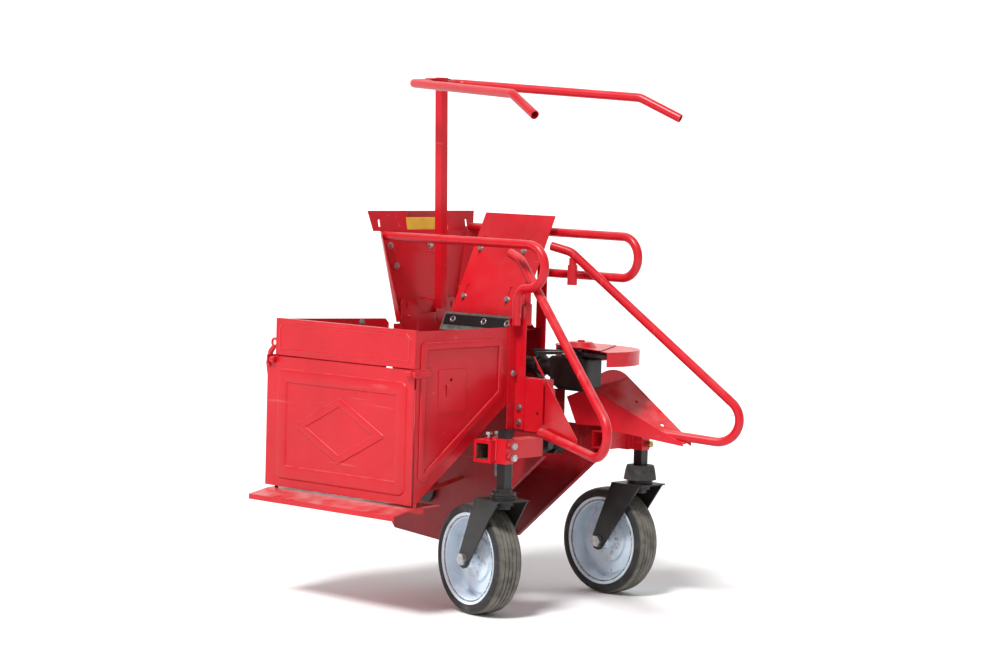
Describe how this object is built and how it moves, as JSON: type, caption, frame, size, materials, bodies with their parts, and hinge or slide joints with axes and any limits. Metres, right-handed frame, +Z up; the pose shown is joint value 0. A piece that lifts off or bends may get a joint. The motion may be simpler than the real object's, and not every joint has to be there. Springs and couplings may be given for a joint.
{
  "type": "single-row maize picker header",
  "caption": "Walk-behind maize picker header: stalk guides, snapping rolls, star wheel, ear bin with a top-hung outlet door, and trailing front casters.",
  "frame": {"origin": "centre of the machine's footprint on the ground", "axes": "+X forwards along the crop row, +Y to the machine's left, +Z up; the ear bin is on the right (-Y)"},
  "size_m": [1.0441, 0.943, 1.44],
  "materials": {
    "red_paint": "gloss",
    "black_paint": "satin",
    "white_paint": "gloss",
    "tyre": "matte",
    "rubber": "satin",
    "curtain": "matte",
    "zinc": "satin",
    "bare_steel": "satin",
    "cast_black": "satin",
    "plate_aluminium": "satin"
  },
  "bodies": {
    "header": {"back_plate": "red_paint", "bin_brackets": "red_paint", "bin_floor": "red_paint", "bin_front_wall": "red_paint", "bin_rear_wall": "red_paint", "bin_upper_panel": "red_paint", "chute_lip": "red_paint", "column_bracket": "red_paint", "corner_post_left": "red_paint", "corner_post_right": "red_paint", "curtain": "curtain", "curtain_clamp": "black_paint", "data_plate": "plate_aluminium", "deflector": "red_paint", "deflector_stays": "red_paint", "drive_tube": "black_paint", "floor_pan": "red_paint", "frame_bolts": "zinc", "front_beams": "red_paint", "gear_case": "cast_black", "gearbox_case": "cast_black", "guide_arms": "red_paint", "guide_post": "red_paint", "hub_cover": "red_paint", "loop_left": "red_paint", "loop_right": "red_paint", "post_bracket": "red_paint", "rail_left": "red_paint", "rail_right": "red_paint", "rear_wall": "red_paint", "shaft_bearings": "cast_black", "side_panel_left": "red_paint", "side_panel_right": "red_paint", "star_guard": "red_paint"},
    "door": {"door": "red_paint"},
    "latch": {"latch_lever": "red_paint"},
    "roll_right": {"snapping_roll_right": "cast_black", "roll_gear_right": "bare_steel"},
    "roll_left": {"snapping_roll_left": "cast_black", "roll_gear_left": "bare_steel"},
    "cross_shaft": {"cross_shaft": "bare_steel"},
    "star": {"star_shaft": "bare_steel", "star_wheel": "black_paint"},
    "chopper": {"chopper_rotor": "black_paint", "chopper_pulley": "cast_black"},
    "sleeve_right": {"beam_sleeve_right": "red_paint", "set_screws_right": "zinc"},
    "stem_right": {"stem_right": "black_paint"},
    "fork_right": {"fork_right": "black_paint", "axle_bolt_right": "zinc"},
    "wheel_right": {"rim_right": "white_paint", "tyre_right": "tyre"},
    "sleeve_left": {"beam_sleeve_left": "red_paint", "set_screws_left": "zinc"},
    "stem_left": {"stem_left": "black_paint", "stem_boot": "rubber"},
    "fork_left": {"fork_left": "black_paint", "axle_bolt_left": "zinc"},
    "wheel_left": {"rim_left": "white_paint", "tyre_left": "tyre"}
  },
  "joints": [
    {"name": "door_hinge", "type": "hinge", "parent": "header", "child": "door", "pos_m": [-0.21641, -0.407, 0.653], "axis": [-1, 0, 0], "range_deg": [0, 75]},
    {"name": "latch_pivot", "type": "hinge", "parent": "header", "child": "latch", "pos_m": [-0.50441, -0.3755, 0.59], "axis": [0, -1, 0], "range_deg": [0, 60]},
    {"name": "roll_right_spin", "type": "hinge", "parent": "header", "child": "roll_right", "pos_m": [-0.21641, 0.0975, 0.44], "axis": [1, 0, 0], "continuous": true},
    {"name": "roll_left_spin", "type": "hinge", "parent": "header", "child": "roll_left", "pos_m": [-0.21641, 0.1815, 0.44], "axis": [1, 0, 0], "continuous": true},
    {"name": "cross_shaft_spin", "type": "hinge", "parent": "header", "child": "cross_shaft", "pos_m": [-0.11641, 0.2245, 0.642], "axis": [1, 0, 0], "continuous": true},
    {"name": "star_spin", "type": "hinge", "parent": "header", "child": "star", "pos_m": [0.09759, 0.2245, 0.68], "axis": [0, 0, 1], "continuous": true},
    {"name": "chopper_spin", "type": "hinge", "parent": "header", "child": "chopper", "pos_m": [-0.25641, 0.1395, 0.285], "axis": [0, 1, 0], "continuous": true},
    {"name": "track_width_right", "type": "slide", "parent": "header", "child": "sleeve_right", "axis": [0, 1, 0], "range_m": [-0.02, 0.05]},
    {"name": "stem_height_right", "type": "slide", "parent": "sleeve_right", "child": "stem_right", "axis": [0, 0, 1], "range_m": [-0.055, 0.06]},
    {"name": "caster_swivel_right", "type": "hinge", "parent": "stem_right", "child": "fork_right", "pos_m": [0.18359, -0.1755, 0.32], "axis": [0, 0, 1], "continuous": true},
    {"name": "wheel_spin_right", "type": "hinge", "parent": "fork_right", "child": "wheel_right", "pos_m": [0.08035, -0.15147, 0.15], "axis": [0.2267, 0.974, 0], "continuous": true},
    {"name": "track_width_left", "type": "slide", "parent": "header", "child": "sleeve_left", "axis": [0, 1, 0], "range_m": [-0.05, 0.02]},
    {"name": "stem_height_left", "type": "slide", "parent": "sleeve_left", "child": "stem_left", "axis": [0, 0, 1], "range_m": [-0.055, 0.02]},
    {"name": "caster_swivel_left", "type": "hinge", "parent": "stem_left", "child": "fork_left", "pos_m": [0.18359, 0.3955, 0.32], "axis": [0, 0, 1], "continuous": true},
    {"name": "wheel_spin_left", "type": "hinge", "parent": "fork_left", "child": "wheel_left", "pos_m": [0.07769, 0.40013, 0.15], "axis": [0.0436, 0.999, 0], "continuous": true}
  ],
  "couplings": [
    {"joint": "roll_left_spin", "follows": "roll_right_spin", "ratio": -1},
    {"joint": "cross_shaft_spin", "follows": "roll_right_spin", "ratio": 0.5},
    {"joint": "star_spin", "follows": "roll_right_spin", "ratio": 0.5}
  ]
}
